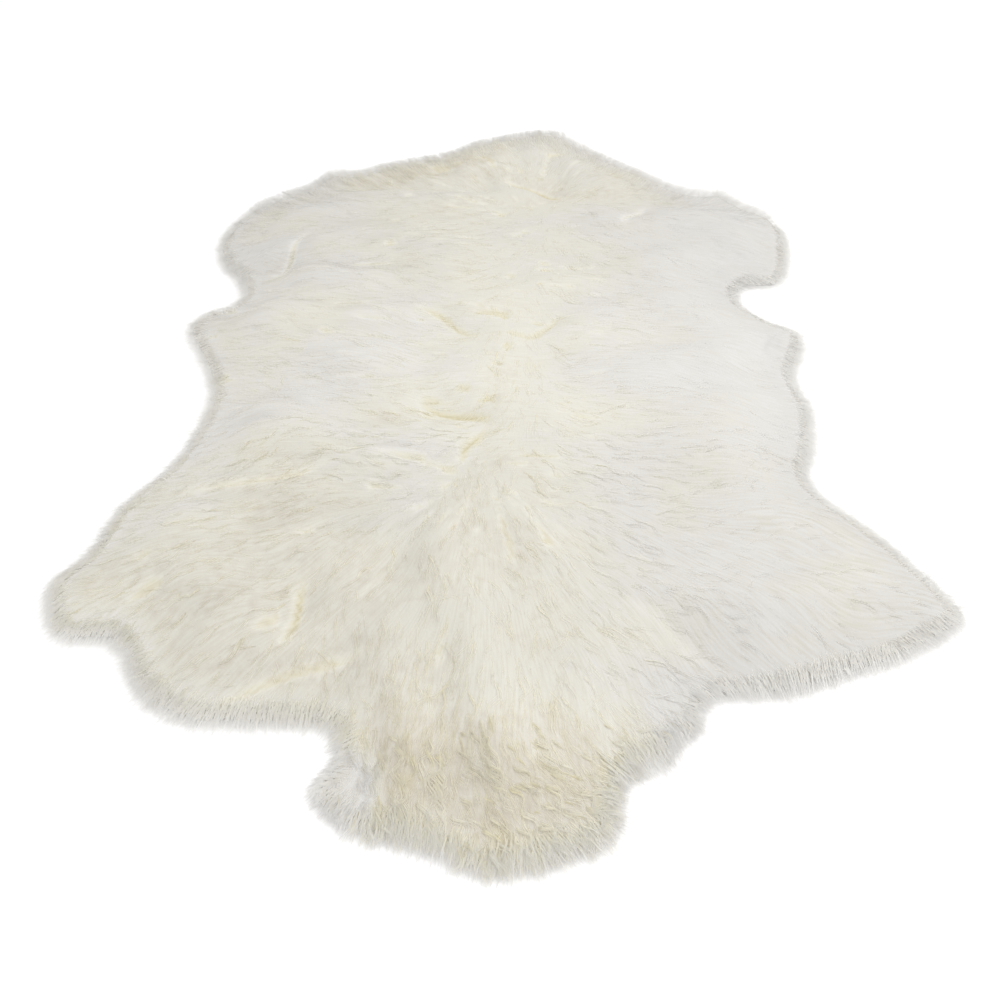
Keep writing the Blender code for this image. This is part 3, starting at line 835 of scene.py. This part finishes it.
def triangular_lattice(line, step):
    """Points a step apart, in shifted rows, over the box round an outline."""
    low, high = line.min(0), line.max(0)
    row_step = step * math.sqrt(3) / 2
    rows = []
    for row in range(int((high[1] - low[1]) / row_step) + 1):
        x = np.arange(low[0] + (step / 2 if row % 2 else 0), high[0], step)
        rows.append(np.stack([x, np.full(len(x), low[1] + row * row_step)], 1))
    return np.concatenate(rows)


def slab(name, inset, step, coat, bottom, top, material, look=None):
    """A closed body, an inset within the wool's edge, from a level bottom up to the heights of top."""
    rim = evenly(coat.edge - outwards(coat.edge) * inset, step)
    points = triangular_lattice(rim, step)
    clear = coat.depth_in.at(points) > inset + 0.6 * step
    points = np.concatenate([rim, points[clear]])
    inside_only, merging = 1, 1e-6  # keep what the rim encloses, and join points this near to each other
    rim_face = [list(range(len(rim)))]
    shape = geometry.delaunay_2d_cdt([Vector(p) for p in points], [], rim_face, inside_only, merging)
    plan = np.array([tuple(p) for p in shape[0]])
    heights = top(plan)
    bm = bmesh.new()
    uppers = [bm.verts.new((x, y, z)) for (x, y), z in zip(plan, heights)]
    for face in shape[2]:
        bm.faces.new([uppers[k] for k in face])
    edge = [e for e in bm.edges if e.is_boundary]
    walls = bmesh.ops.extrude_edge_only(bm, edges=edge)["geom"]
    for v in walls:
        if isinstance(v, bmesh.types.BMVert):
            v.co.z = bottom
    bmesh.ops.edgeloop_fill(bm, edges=[e for e in bm.edges if e.is_boundary])
    bmesh.ops.triangulate(bm, faces=[f for f in bm.faces if len(f.verts) > 4])
    bmesh.ops.recalc_face_normals(bm, faces=bm.faces)
    mesh = bpy.data.meshes.new(name)
    bm.to_mesh(mesh)
    bm.free()
    if look:
        flat = np.array([v.co[:2] for v in mesh.vertices])
        corners = np.array([corner.vertex_index for corner in mesh.loops])
        for layer, values in look(flat).items():
            places = values[corners].astype(np.float32).ravel()
            mesh.uv_layers.new(name=layer).uv.foreach_set("vector", places)
    mesh.shade_smooth()
    return in_scene(name, mesh, material)


def hide_top(plan):
    return np.full(len(plan), HIDE_THICKNESS)


def undercoat_top(coat):
    """The height of the undercoat's surface, as a function of the place."""

    def top(plan):
        relief = 0.8 * RIDGE_HEIGHT * coat.ridges.at(plan) - UNDERCOAT_FURROW * coat.parted.at(plan)
        lobe = np.clip(2 * coat.curl(plan) - 1, 0, 1)
        depth = UNDERCOAT_DEPTH + UNDERCOAT_DEEPER * lobe - UNDERCOAT_HIGHER * combed(plan) * (1 - lobe)
        height = coat.height.at(plan) - depth + relief + 0.5 * coat.standing.at(plan)
        lowest = HIDE_THICKNESS + UNDERCOAT_EDGE
        room = np.clip((coat.depth_in.at(plan) - UNDERCOAT_INSET) / UNDERCOAT_ROUND, 0, 1)
        return lowest + np.maximum(height - lowest, UNDERCOAT_THINNEST) * (1 - (1 - room) ** 2.5)

    return top


def undercoat_look(coat, rng):
    """The undercoat's maps, as a function of the place: its colour's, and its streaks' along the lay."""

    def look(plan):
        furrow = np.clip(1.3 * coat.parted.at(plan), 0, 1)
        tone = tones(plan[:, None], coat, rng)[:, 0]
        _, distance, round_it = from_spine(plan)
        bent = np.abs(round_it) + layered(STREAK_BENDS, plan[:, 0], plan[:, 1])
        # the coat map's v carries the painted shade, as on the strands
        return {
            "coat": np.stack([tone, down_the_map(1 - 0.95 * furrow, plan, coat)], 1),
            "lay": np.stack([distance / STREAK_LENGTH, bent / STREAK_WIDTH], 1),
        }

    return look


def new_material(name, roughness, specular=0.5):
    material = bpy.data.materials.new(name)
    material.use_nodes = True
    tree = material.node_tree
    shader = tree.nodes["Principled BSDF"]
    shader.inputs["Roughness"].default_value = roughness
    shader.inputs["Specular IOR Level"].default_value = specular
    return material, tree, shader


def ramp(tree, source, stops):
    node = tree.nodes.new("ShaderNodeValToRGB")
    elements = node.color_ramp.elements
    while len(elements) < len(stops):
        elements.new(0.5)
    for element, (place, colour) in zip(elements, stops):
        element.position, element.color = place, (*colour, 1.0)
    tree.links.new(source, node.inputs["Fac"])
    return node.outputs["Color"]


def mixed(tree, kind, factor, a, b):
    node = tree.nodes.new("ShaderNodeMix")
    node.data_type, node.blend_type = "RGBA", kind
    node.inputs["Factor"].default_value = factor
    tree.links.new(a, node.inputs["A"])
    tree.links.new(b, node.inputs["B"])
    return node.outputs["Result"]


def place_on(tree, map_name):
    node = tree.nodes.new("ShaderNodeUVMap")
    node.uv_map = map_name
    return node.outputs["UV"]


def speckle(tree, place, scale, detail, roughness=0.5):
    node = tree.nodes.new("ShaderNodeTexNoise")
    node.inputs["Scale"].default_value = scale
    node.inputs["Detail"].default_value = detail
    node.inputs["Roughness"].default_value = roughness
    tree.links.new(place, node.inputs["Vector"])
    return node.outputs["Fac"]


def emboss(tree, shader, height, strength, distance):
    bump = tree.nodes.new("ShaderNodeBump")
    bump.inputs["Strength"].default_value = strength
    bump.inputs["Distance"].default_value = distance
    tree.links.new(height, bump.inputs["Height"])
    tree.links.new(bump.outputs["Normal"], shader.inputs["Normal"])


def wool_colour(tree, map_name):
    """Cream wool: cooler or warmer by the map's u, from yellower roots to pale tips along its v."""
    split = tree.nodes.new("ShaderNodeSeparateXYZ")
    tree.links.new(place_on(tree, map_name), split.inputs[0])
    tone = ramp(tree, split.outputs["X"], TONES)
    along = ramp(tree, split.outputs["Y"], ROOTS_TO_TIPS)
    return mixed(tree, "MULTIPLY", 1.0, tone, along)


def see_light_behind(tree, shader, colour, share):
    """Lets a share of the light through, as thin wool does."""
    glow = tree.nodes.new("ShaderNodeBsdfTranslucent")
    tree.links.new(colour, glow.inputs["Color"])
    both = tree.nodes.new("ShaderNodeMixShader")
    both.inputs["Fac"].default_value = share
    tree.links.new(shader.outputs["BSDF"], both.inputs[1])
    tree.links.new(glow.outputs["BSDF"], both.inputs[2])
    tree.links.new(both.outputs["Shader"], tree.nodes["Material Output"].inputs["Surface"])


def strand_material():
    """Single strands, a little translucent."""
    material, tree, shader = new_material("wool_strands", roughness=0.62, specular=0.10)
    colour = wool_colour(tree, "OFBake")
    tree.links.new(colour, shader.inputs["Base Color"])
    see_light_behind(tree, shader, colour, TRANSLUCENCE)
    return material


def undercoat_material():
    """Dense wool in the strands' colours darkened by painted shade, yellower in the furrows, with streaks
    and a matted relief.
    """
    material, tree, shader = new_material("wool_undercoat", roughness=0.9, specular=0.05)
    # painted shade: the undercoat is darker than the strands, as if shaded beneath them
    painted_shade_colour = tree.nodes.new("ShaderNodeRGB")
    painted_shade_colour.outputs[0].default_value = (*UNDERCOAT_PAINTED_SHADE, 1.0)
    colour = mixed(tree, "MULTIPLY", 1.0, wool_colour(tree, "coat"), painted_shade_colour.outputs[0])
    streaks = ramp(tree, speckle(tree, place_on(tree, "lay"), scale=1.0, detail=2.0), STREAKS)
    colour = mixed(tree, "MULTIPLY", 1.0, colour, streaks)
    tree.links.new(colour, shader.inputs["Base Color"])
    place = tree.nodes.new("ShaderNodeTexCoord").outputs["Object"]
    matted = speckle(tree, place, scale=420.0, detail=4.0)
    emboss(tree, shader, matted, strength=0.5, distance=0.001)
    return material


def hide_material():
    """Pale tanned suede, a little blotchy."""
    material, tree, shader = new_material("tanned_hide", roughness=0.85)
    place = tree.nodes.new("ShaderNodeTexCoord").outputs["Object"]
    blotches = speckle(tree, place, scale=9.0, detail=8.0, roughness=0.6)
    tree.links.new(ramp(tree, blotches, SUEDE), shader.inputs["Base Color"])
    nap = speckle(tree, place, scale=700.0, detail=3.0)
    emboss(tree, shader, nap, strength=0.4, distance=0.0006)
    return material


def build_rug(node):
    rng = np.random.default_rng(FIRST_SEED)
    coat = Coat(node)
    hide = slab("hide", RIM_INSET, HIDE_STEP, coat, 0.0, hide_top, hide_material())
    undercoat = slab(
        "undercoat",
        UNDERCOAT_INSET,
        UNDERCOAT_STEP,
        coat,
        HIDE_THICKNESS,
        undercoat_top(coat),
        undercoat_material(),
        undercoat_look(coat, rng),
    )
    strands = wool_pieces(coat, strand_material(), rng)
    wool = [undercoat] + strands
    for piece in [hide] + wool:
        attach(piece, "root")
        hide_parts("fleece")


def build_stage():
    """A white floor, an even white surround and one large soft light from the right."""
    material, _, shader = new_material("floor", roughness=0.9, specular=0.0)
    shader.inputs["Base Color"].default_value = (FLOOR_GREY, FLOOR_GREY, FLOOR_GREY, 1.0)
    mesh = bpy.data.meshes.new("floor")
    bm = bmesh.new()
    bmesh.ops.create_circle(bm, cap_ends=True, segments=FLOOR_CORNERS, radius=FLOOR_RADIUS)
    bm.to_mesh(mesh)
    bm.free()
    floor = in_scene("floor", mesh, material)

    world = bpy.data.worlds.new("surround")
    world.use_nodes = True
    surround = world.node_tree.nodes["Background"]
    surround.inputs["Color"].default_value = (1.0, 1.0, 1.0, 1.0)
    surround.inputs["Strength"].default_value = SURROUND_STRENGTH
    bpy.context.scene.world = world

    lamp = bpy.data.lights.new("softbox", "AREA")
    lamp.shape, lamp.energy = "RECTANGLE", SOFTBOX_WATTS
    lamp.size, lamp.size_y = SOFTBOX_SIZE
    softbox = bpy.data.objects.new("softbox", lamp)
    softbox.location = SOFTBOX_PLACE
    towards = Vector((0, 0, 0)) - softbox.location
    softbox.rotation_euler = towards.to_track_quat("-Z", "Y").to_euler()
    bpy.context.scene.collection.objects.link(softbox)
    bpy.context.scene.view_settings.view_transform = "Standard"


def place_camera():
    data = bpy.data.cameras.new("camera")
    data.sensor_width, data.lens = CAMERA_SENSOR, CAMERA_LENS
    data.clip_start, data.clip_end = CAMERA_RANGE
    camera = bpy.data.objects.new("camera", data)
    x, y, z = CAMERA_PLACE
    camera.location = (x + PLAN_SHIFT[0], y + PLAN_SHIFT[1], z)
    camera.rotation_euler = (math.radians(90 - CAMERA_PITCH_DEG), 0.0, 0.0)
    bpy.context.scene.collection.objects.link(camera)
    bpy.context.scene.camera = camera


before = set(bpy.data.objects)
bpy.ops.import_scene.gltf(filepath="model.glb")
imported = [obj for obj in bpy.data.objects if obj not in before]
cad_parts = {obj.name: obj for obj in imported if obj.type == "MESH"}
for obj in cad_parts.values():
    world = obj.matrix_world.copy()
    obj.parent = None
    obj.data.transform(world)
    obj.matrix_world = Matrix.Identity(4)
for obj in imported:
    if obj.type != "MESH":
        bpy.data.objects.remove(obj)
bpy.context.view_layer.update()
build_rug(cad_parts["fleece"])
build_stage()
place_camera()
